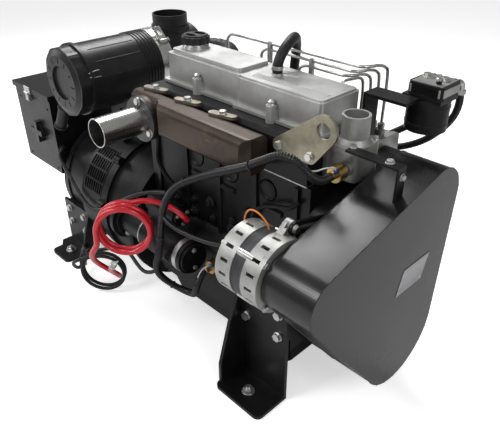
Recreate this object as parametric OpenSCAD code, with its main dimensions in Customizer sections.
// Marine diesel generating set: four-cylinder engine, generator and control box.
// Millimetres. The origin is at floor level, midway between the four foot bolts.
// +X points along the crankshaft to the belt guard, -Y to the exhaust side, +Z up.

/* [Engine] */
// Height of the crankshaft axis above the floor
crank_z = 184; // [182:1:196]
// Distance between neighbouring cylinder centres
bore_pitch = 104; // [102:1:108]
// Height of the block's top face above the crankshaft axis
deck_rise = 286; // [284:1:292]
// Height of the cylinder head
head_h = 80; // [78:1:84]
// Height of the lower front part of the rocker cover
cover_h = 57; // [54:1:62]
// Wall of the rocker cover
cover_wall = 5; // [3:1:6]
// Radius of the crankshaft's main journals
main_journal_r = 30; // [26:1:34]

/* [Feet] */
// Lengthways distance between foot bolts
foot_pitch_x = 730; // [730:1:742]
// Crossways distance between foot bolts
foot_pitch_y = 400; // [394:1:420]
// Thickness of the foot plates
foot_sheet = 8; // [6:1:10]
// Radius of the floor bolt holes
foot_hole_r = 7; // [6:0.5:9]

/* [Generator] */
// Radius of the flywheel housing
housing_r = 176; // [172:1:178]
// Radius of the generator's drive end
drive_end_r = 171; // [167:1:173]
// Radius of the generator's body
body_r = 150; // [146:1:152]
// Running gap between the rotor and the stator
air_gap = 1; // [0.6:0.1:2]

/* [Exhaust] */
// Outer radius of the exhaust pipe
pipe_r = 30; // [27:0.5:32]
// Wall of the exhaust pipe
pipe_wall = 2; // [1.5:0.5:4]
// Length of the exhaust pipe beyond its flange
pipe_len = 104; // [90:1:120]

/* [Coolant neck] */
// Outer radius of the coolant neck
neck_r = 25; // [22:0.5:27]
// Wall of the coolant neck
neck_wall = 4; // [3:0.5:6]
// Length of the coolant neck's hose land
neck_len = 40; // [32:1:44]

/* [Air cleaner] */
// Radius of the air cleaner's body
cleaner_r = 80; // [76:1:82]
// Length of the air cleaner's body
cleaner_len = 330; // [326:1:340]
// Outer radius of the air inlet neck
inlet_r = 44; // [40:1:46]
// Wall of the air inlet neck
inlet_wall = 3; // [2:0.5:4]

/* [Control box] */
// Width of the control box
box_w = 196; // [186:1:200]
// Depth of the control box
box_d = 196; // [180:1:204]
// Height of the control box
box_h = 226; // [216:1:236]
// Thickness of the control box's sheet
box_sheet = 2; // [1.5:0.5:3]

/* [Belt drive] */
// Outer radius of the crankshaft pulley
crank_pulley_r = 80; // [76:1:82]
// Outer radius of the alternator pulley
alternator_pulley_r = 34; // [32:1:36]
// Outer radius of the water pump pulley
pump_pulley_r = 54; // [50:1:56]
// Depth of the belt guard
guard_depth = 97; // [94:1:110]
// Thickness of the belt guard's sheet
guard_sheet = 3; // [2:0.5:4]

/* [Alternator] */
// Radius of the alternator's housings
alternator_r = 64; // [60:1:66]
// Number of vents round each housing
vent_count = 16; // [12:1:18]

/* [Hidden] */
$fn = 64;
over = 1;          // overrun of every cut
gap = 0.3;         // clearance between pieces that don't touch
run = 0.05;        // radial running clearance
paint = "#17181a";
casting = "#a7a9a6";
steel = "#8d9092";

// Engine block
cyl_count = 4;
block_rear = -60;
block_end = 29.5;
block_len = cyl_count * bore_pitch + 2 * block_end;
block_front = block_rear + block_len;
block_half = 95;
skirt_half = 130;
rail_z = crank_z - 72;
skirt_z = crank_z + 60;
shoulder_z = crank_z + 92;
deck_z = crank_z + deck_rise;
rib_w = 10;
rib_out = 6;
pad_half = 153;
pad_len = 117;
pad_low = crank_z - 44;
pad_high = crank_z + 61;
plug_r = 23;
plug_depth = 6;
plug_skin = 3;
plug_z = deck_z - 40;
plug_share = 1.3;

// Cylinder head and rocker cover
head_inset = 10;
head_rear = block_rear + head_inset;
head_front = block_front - head_inset;
head_half = 95;
head_edge = 8;
head_top = deck_z + head_h;
lip_h = 7;
lip_out = 8;
lip_r = 9;
cover_half = 50;
front_half = 55;
cover_inset = 14;
drip = 1;
cover_rear = head_rear + cover_inset;
cover_front = head_front - lip_out - drip;
step_x = cover_rear + 222;
rear_rise = 8;
strip_w = 8;
cover_top = head_top + lip_h + cover_h;
rear_top = cover_top + rear_rise;
bar_w = 2;
bar_h = 1.2;
bar_pitch = 5;
bars = 4;
bar_y = 26;
bar_inset = 12;
column_r = 10;
column_h = 26;
column_xs = [bore_pitch * 0.7, bore_pitch * 2.75];
nut_r = 6.8;
nut_h = 7;
washer_h = 2;

// Oil filler
filler_x = -2;
filler_y = 4;
filler_flange_r = 28;
filler_flange_h = 8;
filler_bore_r = 22;
filler_plug_h = 7;
cap_r = 31;
cap_h = 18;
cap_lobe = 1.6;
cap_lobes = 14;
grip_w = 12;
grip_h = 5;

// Oil pan
pan_half = 122;
pan_inset = 8;
pan_flange = 6;
pan_low = 30;
pan_shallow = 42;
sump_front_share = 0.98;
sump_rear_share = 0.14;
pan_taper = 22;
drain_r = 13;
drain_h = 8;

// Front cover
front_t = 35;
front_x = block_front + front_t;
front_skin_r = 112;
gear_r = 50;
gear_y = 118;
gear_z = crank_z + 250;
idler_r = 40;
idler_y = -60;
idler_z = crank_z + 216;
pump_y = 30;
pump_z = crank_z + 242;
lobe_r = 44;
nose_r = 20;
seal_r = 34;
seal_h = 5;

// Belt drive
belt_x = block_front + 97;
belt_w = 11;
belt_h = 9;
groove_gap = 0.4;
pulley_w = 24;
hub_r = 30;
hub_back = 14;
belt_steps = 28;
alternator_y = -236;
alternator_z = crank_z + 210;
pump_shaft_r = 8;
alternator_shaft_r = 8.5;
nose_end = belt_x + 34;
nose_bolt_r = 16;
nose_bolt_h = 10;

// Belt guard
guard_back = block_front + 70;
guard_front = guard_back + guard_depth;
guard_crank_r = 107;
guard_alternator_r = 52;
guard_top_r = 66;
guard_top_y = 52;
guard_top_z = crank_z + 267;
guard_drop = 8;
arc_steps = 10;
post_r = 7;
post_places = [[-60, crank_z + 146], [30, crank_z + 131]];
strap_w = 22;
strap_t = 4;

// Flywheel housing, flywheel and generator
housing_len = 130;
housing_wall = 12;
housing_rim = 14;
housing_back = block_rear - housing_len;
flange_r = 55;
flange_t = 15;
flywheel_r = 150;
flywheel_t = 50;
flywheel_gap = 14;
disc_t = 10;
disc_r = 110;
drive_len = 110;
drive_wall = 8;
drive_back = housing_back - drive_len;
body_len = 115;
body_wall = 8;
body_back = drive_back - body_len;
end_t = 15;
end_back = body_back - end_t;
rotor_r = 92;
rotor_shaft_r = 25;
rotor_inset = 12;
slot_count = 4;
fan_r = 140;
fan_t = 26;
fan_blades = 11;
blade_t = 5;
vent_len = 74;
vent_low = 34;
vent_high = 70;
grille_bar = 3;
grille_bars = 9;
grille_rows = 4;
grille_out = 2.5;
gen_pad_low = 52;
gen_pad_high = 140;
hoop_w = 12;
louvre_r = 62;
louvre_w = 8;

// Feet
foot_w = 130;
foot_edge = 38;
foot_x = foot_pitch_x / 2;
foot_y = foot_pitch_y / 2;
foot_front_h = pad_high;
foot_rear_h = gen_pad_high;
foot_corner = 14;
gusset_lip_share = 0.24;
gusset_knee_share = 0.64;
gusset_run_share = 0.55;
tab_w = 84;
plate_bolt_d = 10;
plate_bolt_x = 44;
rear_bolt_x = 38;
front_bolt_low = crank_z - 18;
front_bolt_high = crank_z + 37;
rear_bolt_low = gen_pad_low + 22;
rear_bolt_high = gen_pad_high - 22;

// Exhaust
port_0 = block_rear + 33;
port_w = 48;
port_h = 44;
log_in = 103;
log_out = 160;
log_rear_out = 142;
log_low = deck_z + 8;
log_high = head_top - 1;
log_round = 16;
log_rear = block_rear + 12;
log_front = block_rear + 376;
log_step = 90;
outlet_x = 0;
outlet_z = deck_z + 30;
outlet_flange_r = 48;
outlet_flange_t = 8;
stud_d = 10;
stud_ring_r = 40;
clamp_t = 6;
clamp_r = 9;
clamp_run = 44;
clamp_d = 8;

// Intake side
intake_out = 158;
intake_low = deck_z + 35;
intake_high = head_top - 5;
intake_round = 14;
hose_r = 28;
intake_y = 131;
stub_len = 30;

// Air cleaner
cleaner_x = -253;
cleaner_z = crank_z + 343;
cleaner_face = -150;
cleaner_cover_len = 44;
cover_step = 6;
cover_sides = 12;
ridge_w = 3;
ridge_h = 2;
ridge_pitch = 9;
ridges = 5;
band_w = 34;
band_t = 2;
band_y = 40;
latch_w = 20;
latch_l = 40;
latch_t = 5;
ear = 12;
pin_r = 2.5;
inlet_y = 128;
inlet_top = 109;
inlet_floor = 30;
dust_r = 14;
dust_len = 80;
dust_lip = 5;
dust_tilt = 32;
saddle_w = 30;
saddle_t = 6;
saddle_half = 62;
saddle_ys = [-62, 124];
leg_ys = [-62, 48];
saddle_low = -88;
saddle_high = -44;
leg_w = 40;

// Control box
box_right = end_back - 6;
box_near = -150;
box_z = crank_z + 26;
lid_out = 5;
lid_h = 12;
knob_r = 30;
knob_h = 14;
knob_arm = 15;
knob_pin_r = 5;
knob_x = -521;
knob_z = crank_z + 133;
boss_r = 12;
box_bosses = [[-100, crank_z + 60], [24, crank_z + 116], [-60, crank_z + 106]];

// Thermostat housing
thermo_x = block_front + 24;
thermo_y = -14;
thermo_half_x = 30;
thermo_half_y = 40;
thermo_low = deck_z + 12;
thermo_high = deck_z + 66;
thermo_round = 12;
thermo_skin = 9;
sender_r = 9;

// Alternator
alternator_back = block_front - 25;
stator_w = 24;
stator_in = 46;
rotor_core_r = 44;
vent_w = 6;
vent_in = 30;
lug_r = 14;
lug_w = 22;

// Starter
starter_y = -174;
starter_z = crank_z + 56;
starter_r = 38;
starter_nose = 80;
starter_len = 150;
solenoid_r = 24;
solenoid_y = -150;
solenoid_z = crank_z + 121;

// Fuel filter
filter_x = 492;
filter_y = 128;
filter_r = 38;
filter_low = deck_z + 75;
filter_h = 58;
filter_head_h = 24;

// Injection pump
pump_body_y = 140;
pump_body_half = 34;
pump_body_low = deck_z - 36;
pump_body_high = deck_z + 30;
pump_body_len = 150;
line_r = 3;
valve_r = 8;

delivery_h = 22;
delivery_pitch = 17;
delivery_x = block_front - 66;
injector_r = 9;
injector_h = 30;
injector_y = 72;
lever_len = 45;
lever_w = 14;
lever_t = 5;
lever_x = block_front - 115;
lever_z = deck_z + 8;

// Lifting plate, dipstick, senders and oil filter
lift_t = 6;
lift_eye_r = 14;
lift_ring_r = 27;
lift_foot_r = 14;
lift_rear = [block_rear + 401, head_top - 16];
lift_front = [block_rear + 472, head_top - 15];
lift_eye = [block_rear + 497, head_top + 38];
dip_x = 40;
dip_y = 172;
dip_tube_r = 6;
dip_r = 3;
dip_low = crank_z + 16;
dip_high = crank_z + 236;
dip_ring_r = 14;
dip_wire = 3;
dip_boss_h = 24;
oil_sender_x = 213;
oil_sender_z = crank_z + 47;
sender_drum_r = 15;
sender_drum_h = 24;
sender_stem = 10;
temp_sender_z = deck_z + 38;
filter_boss_z = crank_z + 32;
oil_filter_x = 150;
oil_filter_y = 174;
oil_filter_r = 40;
oil_filter_h = 88;
filter_boss_h = 26;

// Clearances, rims and small parts shared by several pieces
rubber = "#1b1b1c";
rim_step = 8;
end_bolt_angles = [8, 80, 125, 170, 215, 260, 305];
ear_ring_r = 178;
ear_r = 11;
starter_boss_r = 50;
starter_flange = 10;
drive_hole_r = 100;
vent_inset = 16;
grille_len = 80;
grille_rim = 4;
grille_rib = 1.6;
pad_depth = 53;
rotor_back = body_back + rotor_inset;
rotor_len = 91;
winding_h = 8;
winding_r = 134;
stator_slots = 24;
slot_w = 5;
slot_depth = 16;
bearing_len = 12;
box_gap = 6;
cover_slots = 10;
louvre_len = 36;
rotor_shaft_end = 4;
pole_gap = 44;
fan_x = drive_back + 14;
fan_hub_r = 40;
flywheel_back = block_rear - flange_t - flywheel_t;
foot_out = foot_y + foot_edge;
shoulder_y = pad_half + foot_edge;
log_taper = 16;
port_low = 18;
bore_depth = 34;
clamp_y = 112;
clamp_y_in = 101;
clamp_xs = [port_0, port_0 + bore_pitch, port_0 + 2 * bore_pitch];
pipe_face = -log_rear_out - 2 * outlet_flange_t;
intake_rear = block_rear + 20;
intake_short = 8;
intake_z = deck_z + 55;
stub_r = 20;
outlet_r = 28;
outlet_len = 25;
latch_angle = -45;
ear_t = 3;
ear_in = 2.5;
hinge_out = 6.5;
tie_h = 18;
knob_back = 8;
sender_x = thermo_x + 12;
cover_flange_h = 10;
strap_x = thermo_x + 17;
strap_front = guard_back + 75;
strap_y = -52;
strap_z = thermo_high + cover_flange_h;
strap_drop = 10;
half_len = 34;
alt_wall = 10;
cavity_r = 56;
vent_len_alt = 16;
rear_socket = 6;
front_half_x = alternator_back + half_len + stator_w;
core_out = 4;
fan_disc = 4;
pivot_x = alternator_back + 10;
pivot_w = 24;
pivot_y = -182;
pivot_z = crank_z + 148;
ear_y = -196;
ear_z = crank_z + 276;
ear_ring = 12;
ear_l = 14;
arm_x = front_half_x + drip + ear_l;
arm_t = 5;
arm_y = -65;
arm_z = crank_z + 241;
pump_r = 38;
pump_nose_r = 22;
pump_len = 30;
pump_nose = 12;
pump_stub_r = 14;
pump_stub = 24;
pump_socket = 10;
solenoid_x = 10;
solenoid_len = 95;
stud_out = 6;
filter_plate = 6;
filter_leg_w = 42;
leg_y = 50;
banjo_len = 16;
pump_flange = 10;
injection_y = 130;
lever_pin = 12;
lever_pin_r = 4;
injector_cap = 6;
line_z = head_top + 56;
line_pitch = 12;
front_bolts = [[-96, crank_z], [-72, crank_z - 70], [0, crank_z - 100], [72, crank_z - 70],
    [98, crank_z], [-88, crank_z + 190], [-30, crank_z + 244], [80, crank_z + 272],
    [152, crank_z + 250]];
red_turns = 2.3;
red_rings = 56;
black_turns = 2;
black_rings = 48;

// Routes of hoses and cables, in round numbers chosen by hand
breather_r = 10;
breather_seat = [238, 4];
breather_seat_h = 3;
breather_route = [[238, 4, 617.4], [238, 4, 628], [238, 9, 642], [236, 24, 657], [231, 44, 666],
    [224, 62, 669], [214, 80, 665], [203, 96, 650], [193, 108, 628], [184, 116, 600],
    [178, 120, 575], [176, 120, 558], [176, 120, 545.4]];
intake_route = [[-253, 205.4, 527], [-253, 211, 527], [-253, 219, 527], [-246, 238, 527],
    [-228, 254, 527], [-198, 261, 527], [-171, 253, 526], [-150, 233, 526], [-137, 200, 526],
    [-128, 168, 525], [-113, 143, 525], [-95, 132, 525], [-83, 131, 525], [-76, 131, 525],
    [-70.4, 131, 525]];
harness_r = 8;
harness_route = [[451, -91.5, 508], [451, -104, 508], [450, -118, 511], [446, -134, 521],
    [438, -148, 538], [424, -158, 553], [402, -168, 555], [374, -178, 540], [345, -184, 522],
    [316, -186, 507], [286, -186, 492], [256, -186, 476], [226, -186, 460], [196, -187, 442],
    [168, -190, 424], [146, -196, 402], [133, -204, 376], [128, -212, 348], [129, -220, 318],
    [130, -226, 286], [124, -228, 252], [110, -226, 222], [97, -218, 192], [92, -206, 166],
    [102, -192, 145], [124, -180, 134], [152, -176, 136], [176, -182, 150], [196, -192, 174],
    [208, -196, 200], [213, -188, 222], [213, -176.8, 229]];
branch_r = 5;
alternator_branch = [[138.4, -214.6, 342], [158, -218, 340], [186, -220, 340], [217, -220, 343],
    [250, -220, 348], [285, -220, 356], [315, -222, 367], [345, -225, 380], [370, -229, 390],
    [388.1, -231.8, 395.6]];
box_branch = [[130.6, -199.5, 392], [106, -204, 386], [76, -206, 374], [44, -208, 358],
    [10, -210, 338], [-24, -212, 316], [-56, -212, 296], [-90, -208, 272], [-128, -202, 246],
    [-166, -194, 224], [-204, -188, 206], [-240, -184, 198], [-276, -180, 204],
    [-312, -176, 222], [-348, -172, 246], [-384, -168, 268], [-410, -160, 280],
    [-424, -145, 283], [-434.8, -141, 284]];
red_r = 6;
red_centre = [44, -250, 300];
red_turn = 56;
red_step = 15;
red_lead = [[119.5, -150, 305], [129, -151, 306], [137, -158, 314], [137, -168, 328],
    [125, -178, 342], [107, -190, 352], [88, -206, 358], [72, -221, 359]];
red_tail = [[24, -313, 268], [10, -318, 246], [-6, -314, 224], [-22, -302, 200],
    [-31, -288, 178], [-30, -274, 160], [-18, -264, 150], [0, -262, 150], [18, -268, 160],
    [32, -280, 178], [44, -296, 200], [60, -308, 222], [80, -314, 244]];
black_r = 4.5;
black_centre = [-150, -214, 68];
black_turn = 54;
black_lead = [[86.6, -215.5, 183], [70, -218, 171], [44, -216, 157], [12, -208, 146],
    [-20, -198, 139], [-52, -188, 135], [-82, -181, 132], [-108, -181, 130], [-130, -196, 127]];
black_tail = [[-146, -258, 121], [-162, -273, 114], [-184, -278, 98], [-204, -272, 76],
    [-221, -260, 54], [-236, -245, 36], [-250, -231, 30], [-257, -226, 44], [-252, -222, 62],
    [-242, -220, 76]];

// Points on an arc, a rounded rectangle and the wrap round a set of circles
function arc(c, r, a0, a1, n) =
    [for (k = [0:n]) let (a = a0 + (a1 - a0) * k / n) c + r * [cos(a), sin(a)]];
function round_rect(lo, hi, r, n = 4) = concat(
    arc([hi.x - r, hi.y - r], r, 0, 90, n), arc([lo.x + r, hi.y - r], r, 90, 180, n),
    arc([lo.x + r, lo.y + r], r, 180, 270, n), arc([hi.x - r, lo.y + r], r, 270, 360, n));
function tangent_angle(a, ra, b, rb) =
    let (d = b - a) atan2(d.y, d.x) - acos((ra - rb) / norm(d));
function wrap(c, r, n) = [for (i = [0:len(c) - 1])
    let (p = (i + len(c) - 1) % len(c), q = (i + 1) % len(c),
        a0 = tangent_angle(c[p], r[p], c[i], r[i]),
        a1 = tangent_angle(c[i], r[i], c[q], r[q]))
    each arc(c[i], r[i], a0, a0 + (a1 - a0 + 720) % 360, n)];
function grown(r, d) = [for (v = r) v + d];
function lobed(r, a, n, m) =
    [for (k = [0:m - 1]) let (t = 360 * k / m) (r + a * cos(n * t)) * [cos(t), sin(t)]];

// Smooth curve through points, and the rings of a tube along it
function unit(v) = v / norm(v);
function blend(a, b, c, d, t) = 0.5 * ((2 * b) + (c - a) * t + (2 * a - 5 * b + 4 * c - d) * t * t
    + (3 * b - a - 3 * c + d) * t * t * t);
function smooth(p, n) = concat([for (i = [0:len(p) - 2]) let (a = p[max(i - 1, 0)],
    d = p[min(i + 2, len(p) - 1)]) for (k = [0:n - 1]) blend(a, p[i], p[i + 1], d, k / n)],
    [p[len(p) - 1]]);
function heading(p, i) = unit(p[min(i + 1, len(p) - 1)] - p[max(i - 1, 0)]);
function hoop(p, t, side, r, n) = let (u = unit(cross(t, side)), v = cross(u, t))
    [for (k = [0:n - 1]) let (a = 360 * k / n) p + r * (cos(a) * u + sin(a) * v)];

module tube(p, r, side, n) {
    last = len(p) - 1;
    rings = [for (i = [0:last]) each hoop(p[i], heading(p, i), side, is_list(r) ? r[i] : r, n)];
    walls = [for (i = [0:last - 1], k = [0:n - 1]) let (a = i * n + k, b = i * n + (k + 1) % n)
        each [[a, a + n, b], [b, a + n, b + n]]];
    first_cap = [for (k = [1:n - 2]) [0, k, k + 1]];
    last_cap = [for (k = [1:n - 2]) [last * n, last * n + k + 1, last * n + k]];
    polyhedron(rings, concat(walls, first_cap, last_cap));
}

module along_x(x, l) translate([x, 0, 0]) rotate([90, 0, 90]) linear_extrude(l) children();
module along_y(y, l) translate([0, y + l, 0]) rotate([90, 0, 0]) linear_extrude(l) children();
module along_z(z, l) translate([0, 0, z]) linear_extrude(l) children();
module slab(lo, hi) translate(lo) cube(hi - lo);
module rod_x(p, r, l) translate(p) rotate([0, 90, 0]) cylinder(r = r, h = l);
module rod_y(p, r, l) translate(p) rotate([-90, 0, 0]) cylinder(r = r, h = l);
module rod_z(p, r, l) translate(p) cylinder(r = r, h = l);
module ring_x(p, ro, ri, l) difference() {
    rod_x(p, ro, l);
    rod_x(p - [over, 0, 0], ri, l + 2 * over);
}
module both_sides() {
    children();
    mirror([0, 1, 0]) children();
}
module to_near(p) translate(p) rotate([90, 0, 0]) children();
module to_front(p) translate(p) rotate([0, 90, 0]) children();
module hex_bolt(d, grip) {
    cylinder(r = d * 1.05, h = d * 0.2);
    translate([0, 0, d * 0.2]) cylinder(r = d * 0.92, h = d * 0.62, $fn = 6);
    if (grip > 0) translate([0, 0, -grip]) cylinder(r = d / 2, h = grip + over);
}
module dome_nut(r, h) {
    cylinder(r = r * 1.15, h = washer_h);
    translate([0, 0, washer_h]) cylinder(r = r, h = h * 0.7, $fn = 6);
    translate([0, 0, washer_h + h * 0.7]) cylinder(r1 = r * 0.8, r2 = r * 0.45, h = h * 0.5);
}

// Engine block with its journal bore, ribs, mounting pads and brackets
module engine_block() color(paint) difference() {
    union() {
        along_x(block_rear, block_len) polygon([[-skirt_half, rail_z], [skirt_half, rail_z],
            [skirt_half, skirt_z], [block_half, shoulder_z], [block_half, deck_z],
            [-block_half, deck_z], [-block_half, shoulder_z], [-skirt_half, skirt_z]]);
        for (i = [0:cyl_count]) let (x = block_rear + block_end + i * bore_pitch - rib_w / 2)
            both_sides() slab([x, block_half - over, skirt_z],
                [x + rib_w, block_half + rib_out, deck_z - lip_h]);
        both_sides() slab([block_front - pad_len, skirt_half - over, pad_low],
            [block_front, pad_half, pad_high]);
        slab([pivot_x - pivot_w, pivot_y, pivot_z - lug_r],
            [pivot_x, -block_half + over, pivot_z + lug_r]);
        rod_x([pivot_x - pivot_w, pivot_y, pivot_z], lug_r, pivot_w);
        slab([dip_x - dip_tube_r, skirt_half - over, dip_low],
            [dip_x + dip_tube_r, dip_y, dip_low + dip_boss_h]);
        rod_z([dip_x, dip_y, dip_low], dip_tube_r, dip_high - dip_low);
        slab([oil_filter_x - oil_filter_r, skirt_half - over, filter_boss_z],
            [oil_filter_x + oil_filter_r, oil_filter_y, filter_boss_z + filter_boss_h]);
        rod_z([oil_filter_x, oil_filter_y, filter_boss_z], oil_filter_r, filter_boss_h);
    }
    rod_x([block_rear - over, 0, crank_z], main_journal_r + run, block_len + 2 * over);
    rod_z([dip_x, dip_y, dip_low + dip_wire], dip_r + run, dip_high);
    for (i = [0:cyl_count - 2]) let (x = block_rear + block_end + (i + plug_share) * bore_pitch)
        difference() {
            rod_y([x, -block_half - over, plug_z], plug_r, over + plug_depth);
            rod_y([x, -block_half + plug_skin, plug_z], plug_r - plug_skin, plug_depth);
        }
}

module cylinder_head() color(paint) along_x(head_rear, head_front - head_rear) polygon([[-head_half, deck_z],
    [head_half, deck_z], [head_half, head_top - head_edge], [head_half - head_edge, head_top],
    [-head_half + head_edge, head_top], [-head_half, head_top - head_edge]]);

module oil_pan() color(paint) {
    rear = block_rear + pan_inset;
    front = block_front - pan_inset;
    sump_rear = rear + sump_rear_share * (front - rear);
    sump_front = rear + sump_front_share * (front - rear);
    side = pan_half - pan_flange * 2;
    slab([rear, -pan_half, rail_z - pan_flange], [front, pan_half, rail_z]);
    intersection() {
        along_y(-side, 2 * side) polygon([[rear + pan_flange, rail_z - pan_flange],
            [rear + pan_flange, rail_z - pan_shallow], [sump_rear, rail_z - pan_shallow],
            [sump_rear + pan_taper, pan_low], [sump_front - pan_taper, pan_low],
            [sump_front, pan_low + pan_taper], [sump_front, rail_z - pan_flange]]);
        along_x(rear, front - rear) polygon([[-side, rail_z - pan_flange],
            [-side + pan_flange, pan_low + pan_taper / 2], [-side + pan_taper, pan_low],
            [side - pan_taper, pan_low], [side - pan_flange, pan_low + pan_taper / 2],
            [side, rail_z - pan_flange]]);
    }
    rod_x([sump_front - pan_taper, 0, pan_low + pan_taper * 1.4], drain_r, pan_taper + drain_h);
}

front_places = [[0, crank_z], [gear_y, gear_z], [pump_y, pump_z], [idler_y, idler_z]];
front_radii = [front_skin_r, gear_r, lobe_r, idler_r];
module front_cover() color(paint) difference() {
    union() {
        along_x(block_front, front_t) polygon(wrap(front_places, front_radii, arc_steps));
        rod_x([front_x - over, 0, crank_z], seal_r, seal_h + over);
        rod_x([front_x - over, arm_y, arm_z], ear_ring, arm_x - front_x + over);
    }
    rod_x([block_front - over, 0, crank_z], nose_r + run, front_t + seal_h + 2 * over);
    rod_x([front_x - pump_socket, pump_y, pump_z], pump_shaft_r + run + gap, pump_socket + over);
}

module cover_prism(x0, x1, half, z0, z1, r)
    along_z(z0, z1 - z0) polygon(round_rect([x0, -half], [x1, half], r));
module rocker_cover() color(casting) difference() {
    union() {
        cover_prism(cover_rear - lip_out, step_x + lip_r, cover_half + lip_out, head_top,
            head_top + lip_h, lip_r);
        cover_prism(step_x - lip_out, cover_front + lip_out, front_half + lip_out, head_top,
            head_top + lip_h, lip_r);
        cover_prism(cover_rear, step_x + lip_r, cover_half, head_top, cover_top, lip_r);
        cover_prism(cover_rear + strip_w, step_x - strip_w / 2, cover_half - strip_w, head_top,
            rear_top, lip_r);
        cover_prism(step_x, cover_front, front_half, head_top, cover_top - strip_w / 2, lip_r);
        cover_prism(step_x + strip_w / 2, cover_front - strip_w / 2, front_half - strip_w / 2,
            head_top, cover_top, lip_r);
        for (s = [-1, 1], i = [0:bars - 1]) let (y = s * bar_y + (i - bars / 2) * bar_pitch)
            slab([step_x + 2 * bar_inset, y, cover_top - over],
                [cover_front - bar_inset, y + bar_w, cover_top + bar_h]);
        rod_z([breather_seat.x, breather_seat.y, cover_top - over], breather_r + lip_h / 5,
            breather_seat_h + over);
        for (x = column_xs) both_sides() {
            rod_z([x, column_at(x), head_top], column_r, lip_h + column_h);
            slab([x - column_r, 0, head_top], [x + column_r, column_at(x), lip_h + head_top
                + column_h - lip_r]);
        }
    }
    cover_prism(cover_rear + cover_wall, step_x, cover_half - cover_wall, head_top - over,
        cover_top - cover_wall, lip_r - cover_wall / 2);
    cover_prism(step_x - over, cover_front - cover_wall, front_half - cover_wall,
        head_top - over, cover_top - cover_wall * 2, lip_r - cover_wall / 2);
}
function column_at(x) = (x < step_x ? cover_half : front_half) + column_r * 0.8;

module oil_filler_neck() color(steel) difference() {
    union() {
        rod_z([filler_x, filler_y, rear_top], filler_flange_r, filler_flange_h / 2);
        rod_z([filler_x, filler_y, rear_top], filler_flange_r - cover_wall / 2, filler_flange_h);
    }
    rod_z([filler_x, filler_y, rear_top - over], filler_bore_r, filler_flange_h + 2 * over);
}
module oil_filler_cap() color("#101011") translate([filler_x, filler_y, rear_top + filler_flange_h])
    difference() {
        union() {
            linear_extrude(cap_h - cap_lobe * 2)
                polygon(lobed(cap_r - cap_lobe, cap_lobe, cap_lobes, cap_lobes * 6));
            translate([0, 0, cap_h - cap_lobe * 2])
                cylinder(r1 = cap_r - cap_lobe * 2, r2 = cap_r - cap_lobe * 4, h = cap_lobe * 2);
            translate([0, 0, -filler_plug_h]) cylinder(r = filler_bore_r - run, h = filler_plug_h);
        }
        for (s = [-1, 1]) translate([0, s * (grip_w / 2 + cap_r * 0.2), cap_h - grip_h])
            scale([1, 0.5, 1]) cylinder(r = cap_r * 0.5, h = grip_h + over);
    }

// Flywheel housing and generator shells
lug_angles = [38, 78, 128];
module ears(x, l) for (a = lug_angles) both_sides()
    rod_x([x, -ear_ring_r * sin(a), crank_z + ear_ring_r * cos(a)], ear_r, l);
module flywheel_housing() color(paint) difference() {
    union() {
        rod_x([housing_back, 0, crank_z], housing_r - rim_step, housing_len);
        rod_x([housing_back, 0, crank_z], housing_r, housing_rim);
        rod_x([block_rear - housing_rim, 0, crank_z], housing_r, housing_rim);
        rod_x([block_rear - housing_wall, starter_y, starter_z], starter_boss_r, housing_wall);
        ears(housing_back, housing_rim);
    }
    rod_x([housing_back - over, 0, crank_z], flywheel_r + rim_step,
        housing_len - housing_wall + over);
    rod_x([block_rear - housing_wall - over, 0, crank_z], flange_r + rim_step / 2,
        housing_wall + 2 * over);
}

function sector(r0, r1, a0, a1) = [for (p = [[r0, a0], [r0, a1], [r1, a1], [r1, a0]])
    [-p.x * sin(p.y), crank_z + p.x * cos(p.y)]];
module drive_end_housing() color(paint) difference() {
    union() {
        rod_x([drive_back, 0, crank_z], drive_end_r, drive_len);
        rod_x([housing_back - flange_t + rim_step / 2, 0, crank_z], housing_r,
            flange_t - rim_step / 2);
        ears(housing_back - flange_t + rim_step / 2, flange_t - rim_step / 2);
    }
    rod_x([drive_back + drive_wall, 0, crank_z], drive_end_r - drive_wall, drive_len);
    rod_x([drive_back - over, 0, crank_z], drive_hole_r, drive_wall + 2 * over);
    both_sides() along_x(drive_back + vent_inset, vent_len) polygon(sector(drive_end_r / 2,
        drive_end_r * 1.1, vent_low, vent_high));
}

module drive_end_grille() color(paint) both_sides() {
    pitch = (grille_len - grille_bar) / (grille_bars - 1);
    span = vent_high - vent_low + 2 * grille_rim;
    row = (span - grille_rib) / grille_rows;
    inner = drive_end_r + gap;
    difference() {
        intersection() {
            ring_x([drive_back + vent_inset - grille_bar, 0, crank_z], inner + grille_out, inner,
                grille_len);
            along_x(drive_back, drive_len) polygon(sector(drive_end_r / 2, drive_end_r * 1.5,
                vent_low - grille_rim, vent_high + grille_rim));
        }
        for (i = [0:grille_bars - 2], k = [0:grille_rows - 1])
            let (a = vent_low - grille_rim + grille_rib + k * row)
            along_x(drive_back + vent_inset + i * pitch, pitch - grille_bar)
                polygon(sector(inner * 0.9, inner * 1.1, a, a + row - grille_rib));
    }
}

module generator_body() color(paint) difference() {
    union() {
        rod_x([body_back, 0, crank_z], body_r, body_len);
        rod_x([body_back, 0, crank_z], body_r + rim_step / 2, hoop_w);
        rod_x([drive_back - hoop_w, 0, crank_z], body_r + rim_step / 2, hoop_w);
        both_sides() slab([body_back, pad_half - pad_depth, gen_pad_low],
            [drive_back, pad_half, gen_pad_high]);
    }
    rod_x([body_back - over, 0, crank_z], body_r - body_wall, body_len + 2 * over);
}

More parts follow.
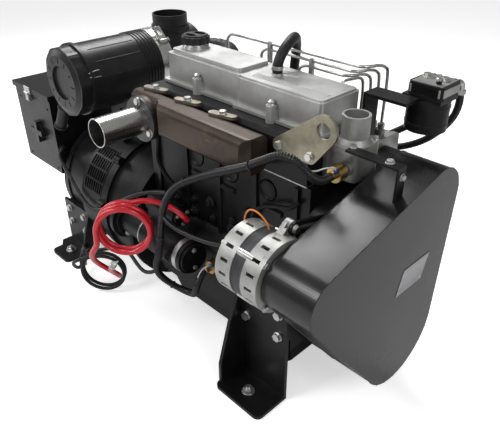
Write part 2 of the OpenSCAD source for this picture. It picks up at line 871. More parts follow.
module generator_stator() color("#6e7072") difference() {
    union() {
        rod_x([rotor_back, 0, crank_z], body_r - body_wall - gap, rotor_len);
        rod_x([rotor_back - winding_h, 0, crank_z], winding_r, rotor_len + 2 * winding_h);
    }
    rod_x([body_back, 0, crank_z], rotor_r + air_gap, body_len);
    for (i = [0:stator_slots - 1]) translate([0, 0, crank_z]) rotate([360 / stator_slots * i, 0, 0])
        slab([body_back, rotor_r, -slot_w / 2], [drive_back, rotor_r + slot_depth, slot_w / 2]);
}

module generator_end_cover() color(paint) difference() {
    union() {
        rod_x([end_back, 0, crank_z], body_r - rim_step, end_t);
        rod_x([body_back - end_t / 2, 0, crank_z], body_r + rim_step / 2, end_t / 2);
        for (b = box_bosses) rod_x([end_back - box_gap, b.x, b.y], boss_r, box_gap + over);
    }
    rod_x([body_back - bearing_len, 0, crank_z], rotor_shaft_r + run, bearing_len + over);
    for (i = [0:cover_slots - 1]) translate([0, 0, crank_z]) rotate([360 / cover_slots * i, 0, 0])
        slab([end_back - over, louvre_r, -louvre_w / 2],
            [body_back + over, louvre_r + louvre_len, louvre_w / 2]);
}

// Feet
module foot_plate(x0, x1, h, low, high, bx) difference() {
    slab([x0, pad_half, 0], [x1, pad_half + foot_sheet, h]);
    for (dx = [-bx, bx], z = [low, high]) rod_y([(x0 < 0 ? -foot_x : foot_x) + dx,
        pad_half - over, z], plate_bolt_d / 2 + gap, foot_sheet + 2 * over);
}
module gusset(x, h, reach) let (y = pad_half + foot_sheet)
    along_x(x, foot_sheet) polygon([[y - over, foot_sheet - over], [y + reach, foot_sheet - over],
        [y + reach, h * gusset_lip_share], [y + reach * gusset_run_share, h * gusset_knee_share],
        [y - over, h]]);
module front_foot() {
    x0 = foot_x - foot_w / 2;
    x1 = foot_x + foot_w / 2;
    foot_plate(x0, x1, foot_front_h, front_bolt_low, front_bolt_high, plate_bolt_x);
    difference() {
        along_z(0, foot_sheet) polygon(concat([[x0, pad_half], [x1, pad_half]],
            arc([x1 - foot_corner, foot_out - foot_corner], foot_corner, 0, 90, arc_steps),
            arc([x0 + foot_corner, foot_out - foot_corner], foot_corner, 90, 180, arc_steps)));
        rod_z([foot_x, foot_y, -over], foot_hole_r, foot_sheet + 2 * over);
    }
    gusset(x0, foot_front_h, foot_out - pad_half - foot_sheet - foot_corner);
}
module rear_foot() {
    x0 = -foot_x - foot_w / 2;
    x1 = -foot_x + foot_w / 2;
    foot_plate(x0, x1, foot_rear_h, rear_bolt_low, rear_bolt_high, rear_bolt_x);
    difference() {
        along_z(0, foot_sheet) polygon(concat([[x0, pad_half], [x1, pad_half],
            [x1, shoulder_y], [-foot_x + tab_w / 2, shoulder_y + foot_corner]],
            arc([-foot_x + tab_w / 2 - foot_corner, foot_out - foot_corner], foot_corner, 0, 90,
                arc_steps),
            arc([-foot_x - tab_w / 2 + foot_corner, foot_out - foot_corner], foot_corner, 90, 180,
                arc_steps),
            [[-foot_x - tab_w / 2, shoulder_y + foot_corner], [x0, shoulder_y]]));
        rod_z([-foot_x, foot_y, -over], foot_hole_r, foot_sheet + 2 * over);
    }
    gusset(x1 - foot_sheet, foot_rear_h, shoulder_y - pad_half - foot_sheet);
}
module foot_front_left() color(paint) front_foot();
module foot_front_right() color(paint) mirror([0, 1, 0]) front_foot();
module foot_rear_left() color(paint) rear_foot();
module foot_rear_right() color(paint) mirror([0, 1, 0]) rear_foot();

// Exhaust side
module exhaust_manifold() color("#6b4a38") difference() {
    union() {
        along_x(log_rear, log_step + log_taper) polygon(round_rect([-log_rear_out, log_low],
            [-log_in, log_high], log_round));
        intersection() {
            along_x(log_rear + log_step, log_front - log_rear - log_step)
                polygon(round_rect([-log_out, log_low], [-log_in, log_high], log_round));
            along_z(log_low - over, log_high - log_low + 2 * over) polygon([
                [log_rear, -log_in + over], [log_rear, -log_rear_out],
                [log_rear + log_step + log_taper / 2, -log_rear_out],
                [log_rear + log_step + log_taper * 1.5, -log_out],
                [log_front - log_round, -log_out], [log_front, -log_out + log_round],
                [log_front, -log_in + over]]);
        }
        for (i = [0:cyl_count - 1]) slab([port_0 + i * bore_pitch - port_w / 2, -log_in - over,
            deck_z + port_low], [port_0 + i * bore_pitch + port_w / 2, -head_half,
            deck_z + port_low + port_h]);
        rod_y([outlet_x, -log_rear_out - outlet_flange_t, outlet_z], outlet_flange_r,
            outlet_flange_t + over);
    }
    rod_y([outlet_x, -log_rear_out - outlet_flange_t - over, outlet_z], pipe_r - pipe_wall,
        bore_depth + over);
}
module manifold_clamps() color("#b3a15f") for (x = clamp_xs) difference() {
    along_z(log_high, clamp_t) polygon(wrap([[x, -clamp_y], [x + clamp_run, -clamp_y_in]],
        [clamp_r, clamp_r - drip], arc_steps));
    rod_z([x + clamp_run / 2, -(clamp_y + clamp_y_in) / 2, log_high + clamp_t / 2], clamp_r / 2,
        clamp_t);
}
module exhaust_pipe() color(steel) difference() {
    union() {
        rod_y([outlet_x, pipe_face, outlet_z], outlet_flange_r, outlet_flange_t);
        rod_y([outlet_x, pipe_face - pipe_len, outlet_z], pipe_r, pipe_len + over);
    }
    rod_y([outlet_x, pipe_face - pipe_len - over, outlet_z], pipe_r - pipe_wall,
        pipe_len + outlet_flange_t + 2 * over);
}

// Intake side
module intake_manifold() color(casting) {
    along_x(intake_rear, log_front - log_rear - intake_short) polygon(round_rect(
        [log_in, intake_low], [intake_out, intake_high], intake_round));
    for (i = [0:cyl_count - 1]) slab([port_0 + i * bore_pitch - port_w / 2, head_half,
        deck_z + port_low * 2], [port_0 + i * bore_pitch + port_w / 2, log_in + over,
        deck_z + port_low + port_h]);
    rod_x([intake_rear - stub_len, intake_y, intake_z], hose_r, stub_len / 3);
    translate([intake_rear - stub_len * 2 / 3, intake_y, intake_z]) rotate([0, 90, 0])
        cylinder(r1 = hose_r, r2 = stub_r, h = stub_len * 2 / 3 + over);
}
module intake_hose() color(rubber) tube(smooth(intake_route, 2), [for (i = [0:2 * len(intake_route) - 2])
    hose_r - (i % 2) * drip * 1.5], [0, 0, 1], 12);

// Air cleaner
module at_cleaner(y) translate([cleaner_x, y, cleaner_z]) rotate([-90, 0, 0]) children();
module air_cleaner_body() color(paint) difference() {
    union() {
        at_cleaner(cleaner_face) cylinder(r = cleaner_r, h = cleaner_len);
        for (y0 = [band_y - ridges * ridge_pitch, band_y + band_w + drip * 2], i = [0:ridges - 1])
            at_cleaner(y0 + i * ridge_pitch) cylinder(r = cleaner_r + ridge_h, h = ridge_w);
        at_cleaner(cleaner_face + cleaner_len) cylinder(r = outlet_r, h = outlet_len);
        at_cleaner(cleaner_face + cleaner_len - over) cylinder(r1 = cleaner_r - cover_step,
            r2 = outlet_r, h = cover_step + over);
        rod_z([cleaner_x, inlet_y, cleaner_z], inlet_r, inlet_top);
        rod_z([cleaner_x, inlet_y, cleaner_z + inlet_floor], inlet_r + drip * 4,
            cleaner_r + drip * 2 - inlet_floor);
    }
    rod_z([cleaner_x, inlet_y, cleaner_z + inlet_floor], inlet_r - inlet_wall, inlet_top);
    at_cleaner(cleaner_face + cleaner_len - cover_step) cylinder(r = outlet_r - inlet_wall,
        h = outlet_len + 2 * cover_step);
}
module air_cleaner_cover() color(paint) at_cleaner(cleaner_face - cleaner_cover_len) difference() {
    union() {
        translate([0, 0, cover_step]) linear_extrude(cleaner_cover_len - 2 * cover_step)
            polygon(lobed(cleaner_r - drip, drip, cover_sides, cover_sides * 5));
        translate([0, 0, cleaner_cover_len - cover_step * 1.5]) cylinder(r = cleaner_r + ridge_h * 2,
            h = cover_step * 1.5);
        cylinder(r1 = cleaner_r - cover_step * 3, r2 = cleaner_r - drip * 3,
            h = cover_step + over);
    }
    translate([0, 0, -over]) cylinder(r = cleaner_r / 2, h = cover_step + over);
    for (i = [0:cover_sides - 1]) rotate(360 / cover_sides * i) slab([cleaner_r * 0.56,
        -ridge_w / 2, -over], [cleaner_r * 0.72, ridge_w / 2, ridge_h]);
}
module dust_valve() color(rubber) translate([cleaner_x, cleaner_face - cleaner_cover_len / 2
    - drip * 2, cleaner_z]) rotate([0, 180 + dust_tilt, 0]) difference() {
    union() {
        cylinder(r = dust_r, h = cleaner_r + dust_len);
        translate([0, 0, cleaner_r + dust_lip]) cylinder(r = dust_r + dust_lip / 2, h = dust_lip);
        translate([0, 0, cleaner_r + dust_len - dust_lip]) cylinder(r = dust_r + dust_lip / 2,
            h = dust_lip);
    }
    rotate([90, 0, 0]) translate([0, 0, -cleaner_r]) cylinder(r = cleaner_r + gap,
        h = cleaner_r * 2);
    translate([0, 0, cleaner_r + dust_len / 2]) cylinder(r = dust_r - ridge_w, h = dust_len);
}
module band_clamp() color("#8a7f63") at_cleaner(band_y) difference() {
    union() {
        cylinder(r = cleaner_r + gap + band_t, h = band_w);
        rotate(latch_angle) for (z = [ear_in, band_w - ear_in - ear_t])
            translate([cleaner_r + band_t / 2, -latch_t, z]) cube([ear + band_t, latch_t * 2, ear_t]);
    }
    translate([0, 0, -over]) cylinder(r = cleaner_r + gap, h = band_w + 2 * over);
    rotate(latch_angle) translate([cleaner_r + gap + band_t + hinge_out, 0, -over])
        cylinder(r = pin_r + run, h = band_w + 2 * over);
}
module band_clamp_latch() color(steel) at_cleaner(band_y) rotate(latch_angle)
    translate([cleaner_r + gap + band_t + hinge_out, 0, 0]) {
        translate([0, 0, (band_w - latch_w) / 2]) cylinder(r = latch_t, h = latch_w);
        translate([0, 0, ear_in]) cylinder(r = pin_r, h = band_w - 2 * ear_in);
        difference() {
            translate([-latch_t / 2, -latch_l, (band_w - latch_w) / 2])
                cube([latch_t, latch_l, latch_w]);
            translate([-latch_t, -latch_l * 0.8, band_w / 2 - latch_t])
                cube([latch_t * 2, latch_l * 0.45, latch_t * 2]);
        }
    }
module air_cleaner_bracket() color(paint) {
    shelf = cleaner_z + saddle_low;
    for (y = saddle_ys) difference() {
        slab([cleaner_x - saddle_half, y, shelf], [cleaner_x + saddle_half, y + saddle_w,
            cleaner_z + saddle_high]);
        at_cleaner(y - over) cylinder(r = cleaner_r, h = saddle_w + 2 * over);
    }
    slab([cleaner_x - leg_w / 2, saddle_ys[0], shelf - tie_h], [cleaner_x + leg_w / 2,
        saddle_ys[1] + saddle_w, shelf + drip]);
    for (y = leg_ys) difference() {
        union() {
            slab([cleaner_x - leg_w / 2, y, crank_z + drive_end_r / 2], [cleaner_x + leg_w / 2,
                y + saddle_t, shelf]);
            slab([cleaner_x - saddle_t / 2, y, crank_z + drive_end_r / 2], [cleaner_x
                + saddle_t / 2, y + saddle_w, shelf]);
            intersection() {
                rod_x([cleaner_x - leg_w / 2, 0, crank_z], drive_end_r + saddle_t, leg_w);
                slab([cleaner_x - leg_w / 2, y, crank_z], [cleaner_x + leg_w / 2, y + saddle_w,
                    shelf]);
            }
        }
        rod_x([cleaner_x - saddle_half, 0, crank_z], drive_end_r, saddle_half * 2);
    }
}

// Control box
box_left = box_right - box_w;
box_far = box_near + box_d;
box_top = box_z + box_h;
module control_box() color(paint) difference() {
    slab([box_left, box_near, box_z], [box_right, box_far, box_top]);
    slab([box_left + box_sheet, box_near + box_sheet, box_z + box_sheet],
        [box_right - box_sheet, box_far - box_sheet, box_top + over]);
    rod_y([knob_x, box_near - over, knob_z], knob_pin_r + run, box_sheet + 2 * over);
}
module control_box_lid() color(paint) difference() {
    slab([box_left - lid_out, box_near - lid_out, box_top - lid_h],
        [box_right + lid_out, box_far + lid_out, box_top + box_sheet]);
    slab([box_left - lid_out + box_sheet, box_near - lid_out + box_sheet, box_top - lid_h - over],
        [box_right + lid_out - box_sheet, box_far + lid_out - box_sheet, box_top]);
}
module control_knob() color("#1c1d1f") to_near([knob_x, box_near - gap, knob_z]) {
    translate([0, 0, -knob_back]) cylinder(r = knob_pin_r, h = knob_back + over);
    cylinder(r = knob_r * 0.75, h = knob_h * 0.3);
    for (a = [0, 90]) rotate(a) translate([-knob_r, -knob_arm / 2, 0])
        cube([2 * knob_r, knob_arm, knob_h]);
}

// Coolant outlet
module thermostat_housing() color(casting) difference() {
    union() {
        slab([head_front, thermo_y - thermo_half_y, thermo_low], [head_front + thermo_skin,
            thermo_y + thermo_half_y, thermo_high]);
        along_z(thermo_low, thermo_high - thermo_low) polygon(round_rect([head_front + drip,
            thermo_y - thermo_half_y + thermo_skin], [thermo_x + thermo_half_x,
            thermo_y + thermo_half_y], thermo_round));
        to_near([sender_x, thermo_y - thermo_half_y + thermo_skin + over, temp_sender_z])
            cylinder(r = sender_r + thermo_skin / 2, h = thermo_skin + over);
    }
    rod_z([thermo_x, thermo_y, thermo_low + thermo_skin], neck_r - neck_wall, thermo_high);
}
module thermostat_cover() color(casting) difference() {
    union() {
        along_z(thermo_high, cover_flange_h) polygon(round_rect([head_front + drip,
            thermo_y - thermo_half_y + drip], [thermo_x + thermo_half_x, thermo_y
            + thermo_half_y], thermo_round));
        translate([thermo_x, thermo_y, thermo_high + cover_flange_h - over])
            cylinder(r1 = neck_r + thermo_skin * 0.7 + over, r2 = neck_r, h = thermo_skin + over);
        rod_z([thermo_x, thermo_y, thermo_high], neck_r, cover_flange_h + thermo_skin + neck_len);
    }
    rod_z([thermo_x, thermo_y, thermo_high - over], neck_r - neck_wall,
        cover_flange_h + thermo_skin + neck_len + 2 * over);
}

// Belt guard and its strap
guard_places = [[0, crank_z - guard_drop], [guard_top_y, guard_top_z],
    [alternator_y, alternator_z]];
guard_radii = [guard_crank_r, guard_top_r, guard_alternator_r];
module belt_guard() color(paint) difference() {
    along_x(guard_back, guard_depth) polygon(wrap(guard_places, guard_radii, belt_steps));
    along_x(guard_back - over, guard_depth - guard_sheet + over)
        polygon(wrap(guard_places, grown(guard_radii, -guard_sheet), belt_steps));
}
module guard_strap() color(paint) difference() {
    union() {
        slab([strap_x, strap_y - strap_w / 2, strap_z], [strap_front, strap_y + strap_w / 2,
            strap_z + strap_t]);
        slab([strap_front - strap_t, strap_y - strap_w / 2, guard_top_z - strap_drop],
            [strap_front, strap_y + strap_w / 2, strap_z + over]);
    }
    along_x(guard_back - over, guard_depth + 2 * over)
        polygon(wrap(guard_places, guard_radii, belt_steps));
}

// Crankshaft and everything that turns with it
module crankshaft() color(steel) {
    rod_x([block_rear - gap, 0, crank_z], main_journal_r, block_len + gap);
    rod_x([block_rear - flange_t, 0, crank_z], flange_r, flange_t - gap);
    rod_x([block_front - over, 0, crank_z], nose_r, nose_end - block_front + over);
    rod_x([nose_end - over, 0, crank_z], hub_r - seal_h, seal_h);
    translate([nose_end, 0, crank_z]) rotate([0, 90, 0]) cylinder(r = nose_bolt_r,
        h = nose_bolt_h, $fn = 6);
}
module pulley(r, bore, back) difference() {
    union() {
        cylinder(r = r, h = pulley_w);
        translate([0, 0, -back]) cylinder(r = min(hub_r, r * 0.7), h = back + over);
    }
    translate([0, 0, (pulley_w - belt_w) / 2 - groove_gap]) difference() {
        cylinder(r = r + over, h = belt_w + 2 * groove_gap);
        translate([0, 0, -over]) cylinder(r = r - belt_h - groove_gap, h = belt_w * 2);
    }
    translate([0, 0, pulley_w * 0.7]) difference() {
        cylinder(r = r - belt_h * 1.6, h = pulley_w);
        translate([0, 0, -over]) cylinder(r = max(bore, 1 * pump_shaft_r) + belt_h * 0.8,
            h = pulley_w * 2);
    }
    if (bore > 0) translate([0, 0, -back - over]) cylinder(r = bore,
        h = back + pulley_w + 2 * over);
}
module crank_pulley() color(paint) to_front([belt_x - pulley_w / 2, 0, crank_z])
    pulley(crank_pulley_r, nose_r + run, hub_back);
module flywheel() color(steel) difference() {
    rod_x([flywheel_back, 0, crank_z], flywheel_r, flywheel_t);
    ring_x([flywheel_back + flywheel_t - rim_step, 0, crank_z], flywheel_r - flywheel_gap,
        flange_r + flywheel_gap, flywheel_t);
}
module generator_rotor() color("#7c5a45") {
    rod_x([flywheel_back - disc_t, 0, crank_z], disc_r, disc_t);
    rod_x([end_back + rotor_shaft_end, 0, crank_z], rotor_shaft_r,
        flywheel_back - end_back - rotor_shaft_end);
    difference() {
        rod_x([rotor_back, 0, crank_z], rotor_r, rotor_len);
        for (i = [0:slot_count - 1]) translate([0, 0, crank_z]) rotate([i * 360 / slot_count
            + 45, 0, 0]) slab([rotor_back - over, rotor_r * 0.6, -pole_gap / 2],
            [rotor_back + rotor_len + over, rotor_r + over, pole_gap / 2]);
    }
    rod_x([fan_x, 0, crank_z], fan_hub_r, fan_t);
    rod_x([fan_x + fan_t - blade_t, 0, crank_z], fan_r, blade_t);
    for (i = [0:fan_blades - 1]) translate([0, 0, crank_z]) rotate([i * 360 / fan_blades, 0, 0])
        slab([fan_x, fan_hub_r - blade_t, -blade_t / 2], [fan_x + fan_t - blade_t + over,
            fan_r - blade_t, blade_t / 2]);
}

// Alternator
module at_alternator(x) to_front([x, alternator_y, alternator_z]) children();
module alternator_half(x, wall_x, lug, lug_ring, lug_x, lug_l) difference() {
    union() {
        at_alternator(x) cylinder(r = alternator_r, h = half_len);
        along_x(lug_x, lug_l) polygon(wrap([lug, [alternator_y, alternator_z]],
            [lug_ring, alternator_r * 0.6], arc_steps));
    }
    at_alternator(wall_x) cylinder(r = cavity_r, h = half_len);
    at_alternator(x) for (i = [0:vent_count - 1]) rotate(360 / vent_count * i) {
        translate([cavity_r - over * 2, -vent_w / 2, half_len / 2 - vent_len_alt / 2])
            cube([alternator_r, vent_w, vent_len_alt]);
        translate([vent_in, -vent_w / 2, -over]) cube([cavity_r - vent_in - vent_w, vent_w,
            half_len + 2 * over]);
    }
}
module alternator_housings() color(casting) {
    difference() {
        alternator_half(alternator_back, alternator_back + alt_wall, [pivot_y, pivot_z], lug_r,
            pivot_x, lug_w - drip * 2);
        at_alternator(alternator_back + alt_wall - rear_socket) cylinder(r = alternator_shaft_r
            + run, h = half_len);
        at_alternator(alternator_back + alt_wall) cylinder(r = cavity_r, h = half_len);
    }
    difference() {
        alternator_half(front_half_x, front_half_x - alt_wall, [ear_y, ear_z], ear_ring,
            front_half_x + drip, ear_l);
        at_alternator(front_half_x - over) cylinder(r = alternator_shaft_r + run,
            h = half_len * 2);
    }
}
module alternator_stator() color("#2a2a2c") at_alternator(alternator_back + half_len)
    difference() {
        cylinder(r = alternator_r - drip * 2, h = stator_w);
        translate([0, 0, -over]) cylinder(r = stator_in, h = stator_w + 2 * over);
        for (i = [0:11]) rotate(i * 30) translate([stator_in - over, -slot_w / 2, -over])
            cube([slot_depth, slot_w, stator_w + 2 * over]);
    }
module alternator_rotor() color(steel) {
    at_alternator(alternator_back + alt_wall - rear_socket + drip)
        cylinder(r = alternator_shaft_r, h = belt_x + pulley_w * 0.75 - alternator_back - alt_wall
        + rear_socket - drip);
    at_alternator(alternator_back + half_len - core_out) difference() {
        cylinder(r = rotor_core_r, h = stator_w + 2 * core_out);
        for (i = [0:5]) rotate(i * 60) translate([rotor_core_r * 0.75, -slot_w, -over])
            cube([rotor_core_r, slot_w * 2, stator_w + 2 * core_out + 2 * over]);
    }
    for (x = [alternator_back + half_len - core_out - fan_disc, alternator_back + half_len
        + stator_w + core_out - over]) at_alternator(x) {
        cylinder(r = rotor_core_r * 0.6, h = fan_disc + over);
        for (i = [0:5]) rotate(i * 60 + 30) translate([rotor_core_r / 2, -drip, 0])
            cube([rotor_core_r / 2 + slot_w, drip * 2, fan_disc + over]);
    }
    at_alternator(belt_x - pulley_w / 2) pulley(alternator_pulley_r, 0, 0);
}
module adjuster_arm() color(paint) difference() {
    along_x(arm_x, arm_t) polygon(wrap([[ear_y, ear_z], [arm_y, arm_z]],
        [ear_ring, ear_ring], arc_steps));
    along_x(arm_x - over, arm_t + 2 * over) polygon(wrap([
        [ear_y, ear_z] + 0.12 * [arm_y - ear_y, arm_z - ear_z],
        [ear_y, ear_z] + 0.6 * [arm_y - ear_y, arm_z - ear_z]],
        [clamp_d / 2 + gap, clamp_d / 2 + gap], arc_steps));
}

// Water pump and belt
module water_pump() color(casting) difference() {
    union() {
        rod_x([front_x, pump_y, pump_z], pump_r, pump_len);
        rod_x([front_x, pump_y, pump_z], pump_nose_r, pump_len + pump_nose);
        rod_y([front_x + pump_len / 2, pump_y, pump_z], pump_stub_r, pump_r + pump_stub);
    }
    rod_x([front_x - over, pump_y, pump_z], pump_shaft_r + run, pump_len * 2);
}
module water_pump_pulley() color(paint) {
    rod_x([front_x - pump_socket + drip, pump_y, pump_z], pump_shaft_r,
        belt_x - front_x + pump_socket - drip);
    to_front([belt_x - pulley_w / 2, pump_y, pump_z]) pulley(pump_pulley_r, 0, 0);
}
belt_places = [[0, crank_z], [pump_y, pump_z], [alternator_y, alternator_z]];
belt_radii = [crank_pulley_r, pump_pulley_r, alternator_pulley_r];
module drive_belt() color("#222222") along_x(belt_x - belt_w / 2, belt_w) difference() {
    polygon(wrap(belt_places, belt_radii, belt_steps));
    polygon(wrap(belt_places, grown(belt_radii, -belt_h), belt_steps));
}

// Starter motor
module starter_motor() color(paint) {
    rod_x([block_rear, starter_y, starter_z], starter_r + rim_step / 2, starter_flange);
    rod_x([block_rear, starter_y, starter_z], starter_r - rim_step / 2 - drip, starter_nose);
    rod_x([block_rear + starter_nose - over, starter_y, starter_z], starter_r, starter_len);
    rod_x([block_rear + starter_nose + starter_len - 2 * over, starter_y, starter_z],
        starter_r - rim_step / 2, rim_step);
    rod_x([solenoid_x, solenoid_y, solenoid_z], solenoid_r, solenoid_len);
    rod_x([solenoid_x + solenoid_len - over, solenoid_y, solenoid_z], solenoid_r - rim_step / 2,
        rim_step + over);
    rod_x([solenoid_x + solenoid_len, solenoid_y, solenoid_z], stud_d / 2, rim_step + stud_out);
    slab([solenoid_x + rim_step, solenoid_y - solenoid_r, starter_z + starter_r / 2],
        [solenoid_x + solenoid_len - rim_step, solenoid_y - rim_step / 2, solenoid_z]);
}

// Fuel filter
filter_top = filter_low + filter_h;
module fuel_filter() color(paint) {
    rod_z([filter_x, filter_y, filter_low], filter_r, filter_h);
    rod_z([filter_x, filter_y, filter_low - rim_step / 2], filter_r * 0.6, rim_step);
    slab([filter_x - filter_r, filter_y - filter_r * 0.8, filter_top - over],
        [filter_x + filter_r, filter_y + filter_r * 0.8, filter_top + filter_plate]);
    slab([head_front, leg_y, filter_top], [filter_x, leg_y + filter_leg_w,
        filter_top + filter_plate]);
    slab([head_front, leg_y, deck_z + port_low * 2], [head_front + filter_plate,
        leg_y + filter_leg_w, filter_top + filter_plate]);
    along_z(filter_top + filter_plate, filter_head_h) polygon(round_rect([filter_x - filter_r
        + rim_step, filter_y - filter_r * 0.8], [filter_x + filter_r, filter_y
        + filter_r * 0.9], rim_step));
    for (dx = [-0.6, 0.5]) rod_y([filter_x + dx * filter_r, filter_y + filter_r * 0.9 - over,
        filter_top + filter_plate + filter_head_h / 2], filter_head_h / 3, banjo_len);
    rod_z([filter_x + filter_r / 2, filter_y - filter_r / 3, filter_top + filter_plate
        + filter_head_h - over], sender_stem / 2, banjo_len / 2);
}

// Injection pump with its delivery valves, injectors and pipes
pump_rear = block_front - pump_body_len;
module injection_pump() color(casting) difference() {
    union() {
        along_x(pump_rear, pump_body_len) polygon(round_rect([pump_body_y - pump_body_half,
            pump_body_low], [pump_body_y + pump_body_half, pump_body_high], intake_round));
        along_x(block_front - pump_flange, pump_flange) polygon(round_rect([pump_body_y
            - pump_body_half - drip * 4, pump_body_low - drip * 4], [pump_body_y + pump_body_half
            + drip * 4, pump_body_high], intake_round));
        for (i = [0:3]) let (x = delivery_x + i * delivery_pitch) {
            rod_z([x, injection_y, pump_body_high - over], valve_r, delivery_h * 0.6);
            rod_z([x, injection_y, pump_body_high - over], valve_r * 0.6, delivery_h + over);
        }
    }
    to_near([lever_x, pump_body_y + pump_body_half + over, lever_z])
        cylinder(r = lever_pin_r + run, h = lever_pin + over + drip);
}
module stop_lever() color(steel) to_near([lever_x, pump_body_y + pump_body_half + drip + lever_t,
    lever_z]) {
    cylinder(r = lever_w * 0.75, h = lever_t);
    cylinder(r = lever_pin_r, h = lever_t + lever_pin + drip);
    translate([-lever_len, -lever_w / 2, 0]) cube([lever_len, lever_w, lever_t]);
}
function injector_x(i) = block_rear + block_end + bore_pitch * (i + 0.5);
function line_route(i) = let (v = delivery_x + i * delivery_pitch, e = injector_x(3 - i),
    z = line_z + i * line_pitch, s = injection_y, f = injector_y, u = line_r * 2,
    rise = [[v, s, pump_body_high + delivery_h + gap], [v, s, z - u * 4]],
    seat = [[e, f, head_top + injector_h + injector_cap + gap]])
    i == 0 ? concat(rise, [[v - u / 4, s - u, z - u / 2], [(v + e) / 2, (s + f) / 2, z],
        [e + u / 4, f + u, z - u / 2]], seat)
    : concat(rise, [[v - u / 2, s - u, z - u], [v - u * 1.3, s - u * 4, z],
        [v - u * 2, f + u * 3, z], [v - u * 4, f + u / 2, z], [v - u * (7 + i / 2), f, z],
        [e + u * 4 + (v - e - u * 10) / 3, f, z], [e + u * 4, f, z], [e + u, f, z - u],
        [e, f, z - u * 3]], seat);
module injection_lines() color("#b9bab8") for (i = [0:3])
    tube(smooth(line_route(i), 2), line_r, [0.3, 0.2, 0.93], 8);

module lifting_plate() color("#b3a15f") difference() {
    along_y(-head_half - lift_t, lift_t) polygon(wrap([lift_rear, lift_front, lift_eye],
        [lift_foot_r, lift_foot_r, lift_ring_r], arc_steps));
    rod_y([lift_eye.x, -head_half - lift_t - over, lift_eye.y], lift_eye_r, lift_t + 2 * over);
}
module dipstick() color("#c9a227") {
    rod_z([dip_x, dip_y, dip_low + dip_wire + drip], dip_r, dip_high - dip_low);
    rod_z([dip_x, dip_y, dip_high], dip_tube_r, dip_wire * 2);
    translate([dip_x, dip_y, dip_high + dip_wire * 2 + dip_ring_r]) rotate([90, 0, 0])
        rotate_extrude() translate([dip_ring_r, 0]) circle(r = dip_wire * 0.8);
}
module sender(stem, drum, cap) {
    cylinder(r = sender_r, h = stem);
    translate([0, 0, stem - over]) cylinder(r = sender_drum_r, h = drum);
    translate([0, 0, stem + drum - 2 * over]) cylinder(r = sender_drum_r / 2, h = cap);
}
module senders() color("#b58a3c") {
    to_near([oil_sender_x, -skirt_half, oil_sender_z]) sender(sender_stem, sender_drum_h,
        sender_stem);
    to_near([sender_x, thermo_y - thermo_half_y, temp_sender_z]) sender(sender_stem,
        sender_drum_h - sender_stem / 2, sender_stem);
}
module oil_filter() color("#20242c") {
    rod_z([oil_filter_x, oil_filter_y, filter_boss_z - oil_filter_h], oil_filter_r - drip * 2,
        oil_filter_h);
    translate([oil_filter_x, oil_filter_y, filter_boss_z - oil_filter_h - rim_step / 2])
        cylinder(r1 = oil_filter_r * 0.6, r2 = oil_filter_r - drip * 3, h = rim_step / 2 + over);
}

// Hose, harness and cables
module breather_hose() color(rubber) tube(smooth(breather_route, 2), breather_r, [1, 0, 0.2], 10);
module harness() color(rubber) for (p = [harness_route, alternator_branch, box_branch])
    tube(smooth(p, 1), p == harness_route ? harness_r : branch_r, [0.3, 0.2, 0.93], 8);
across = [0.703, 0.711, 0];
outward = [0.711, -0.703, 0];
function turn_point(c, r, a, k) = c + r * (cos(a) * across + sin(a) * [0, 0, 1]) + k * outward;
red_path = concat(smooth(red_lead, 2), [for (i = [0:red_rings]) let (a = 75 + 360 * red_turns
    * i / red_rings) turn_point(red_centre, red_turn, a, red_step * (a - 75) / 360)],
    smooth(red_tail, 2));
black_path = concat(smooth(black_lead, 2), [for (i = [0:black_rings]) let (a = 100
    + 360 * black_turns * i / black_rings) turn_point(black_centre, black_turn, a,
    red_step * (a - 100) / 360)], smooth(black_tail, 2));
module red_cable() color("#d3122a") tube(red_path, red_r, [0.3, 0.1, 0.95], 8);
module black_cable() color(rubber) tube(black_path, black_r, [0.3, 0.1, 0.95], 8);
function least_gap(p, r, skip) = min([for (i = [0:len(p) - 1], j = [i + skip:1:len(p) - 1])
    norm(p[i] - p[j]) - 2 * r]);
echo(red_gap = least_gap(red_path, red_r, 6), black_gap = least_gap(black_path, black_r, 6));

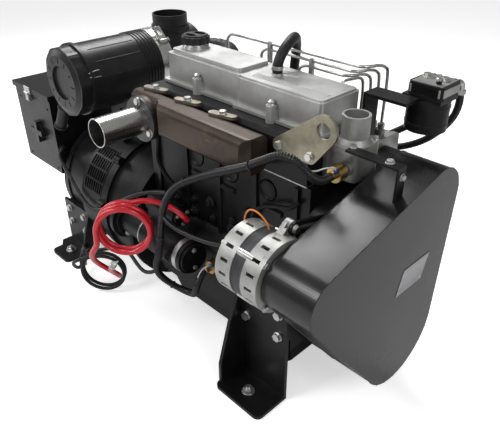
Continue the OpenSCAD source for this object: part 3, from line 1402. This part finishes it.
// Bolts, nuts and studs
module at_rear(p) translate(p) rotate([0, -90, 0]) children();
module fasteners() color(steel) {
    for (x = column_xs) both_sides() translate([x, column_at(x), head_top + lip_h + column_h])
        dome_nut(nut_r, nut_h);
    for (a = [90, 210, 330]) to_near([outlet_x + stud_ring_r * cos(a), pipe_face,
        outlet_z + stud_ring_r * sin(a)]) hex_bolt(stud_d * 0.8, 0);
    for (x = clamp_xs) translate([x + clamp_run / 2, -(clamp_y + clamp_y_in) / 2,
        log_high + clamp_t]) hex_bolt(clamp_d, clamp_t / 2);
    for (p = front_bolts) to_front([front_x, p.x, p.y]) hex_bolt(clamp_d, 0);
    for (p = post_places) rod_x([front_x, p.x, p.y], post_r, guard_front - guard_sheet - front_x);
    for (s = [-1, 1], dx = [-1, 1]) {
        for (z = [front_bolt_low, front_bolt_high]) plate_bolt(foot_x + dx * plate_bolt_x, s, z);
        for (z = [rear_bolt_low, rear_bolt_high]) plate_bolt(-foot_x + dx * rear_bolt_x, s, z);
    }
    for (a = lug_angles) both_sides() at_rear([housing_back - flange_t + rim_step / 2,
        -ear_ring_r * sin(a), crank_z + ear_ring_r * cos(a)]) hex_bolt(clamp_d * 0.75, 0);
    for (a = end_bolt_angles) at_rear([end_back, -(body_r - rim_step * 2) * sin(a),
        crank_z + (body_r - rim_step * 2) * cos(a)]) hex_bolt(clamp_d * 0.75, 0);
    for (p = [lift_rear, lift_front]) to_near([p.x, -head_half - lift_t, p.y])
        hex_bolt(clamp_d, 0);
    to_front([arm_x + arm_t, arm_y, arm_z]) hex_bolt(clamp_d, 0);
    to_front([arm_x + arm_t, ear_y, ear_z]) hex_bolt(clamp_d, 0);
    for (i = [0:cyl_count - 1]) translate([injector_x(i), injector_y, head_top]) {
        cylinder(r = injector_r, h = injector_h * 0.5);
        cylinder(r = injector_r * 0.6, h = injector_h + injector_cap);
        translate([0, 0, injector_h * 0.6]) cylinder(r = injector_r * 0.85, h = injector_h * 0.3,
            $fn = 6);
    }
    for (s = [-1, 1], x = [head_front + rim_step * 1.4, thermo_x + thermo_half_x - rim_step])
        translate([x, thermo_y + s * (thermo_half_y - rim_step), thermo_high + cover_flange_h
            + (s < 0 && x > thermo_x ? strap_t : 0)]) hex_bolt(clamp_d * 0.75, 0);
    for (dx = [-1, 1]) translate([filter_x + dx * filter_r * 0.45, filter_y + filter_r * 0.3,
        filter_top + filter_plate + filter_head_h]) hex_bolt(clamp_d, 0);
}
module plate_bolt(x, s, z) translate([x, s * (pad_half + foot_sheet), z]) rotate([-90 * s, 0, 0])
    hex_bolt(plate_bolt_d, foot_sheet);

engine_block();
cylinder_head();
oil_pan();
front_cover();
rocker_cover();
fasteners();
oil_filler_neck();
oil_filler_cap();
flywheel_housing();
drive_end_housing();
drive_end_grille();
generator_body();
generator_stator();
generator_end_cover();
foot_front_right();
foot_front_left();
foot_rear_right();
foot_rear_left();
exhaust_manifold();
manifold_clamps();
exhaust_pipe();
intake_manifold();
intake_hose();
air_cleaner_body();
air_cleaner_cover();
dust_valve();
band_clamp();
band_clamp_latch();
air_cleaner_bracket();
control_box();
control_box_lid();
control_knob();
thermostat_housing();
thermostat_cover();
guard_strap();
belt_guard();
crankshaft();
crank_pulley();
flywheel();
generator_rotor();
alternator_housings();
alternator_stator();
alternator_rotor();
adjuster_arm();
water_pump();
water_pump_pulley();
drive_belt();
starter_motor();
fuel_filter();
injection_pump();
stop_lever();
injection_lines();
lifting_plate();
dipstick();
senders();
oil_filter();
breather_hose();
harness();
red_cable();
black_cable();
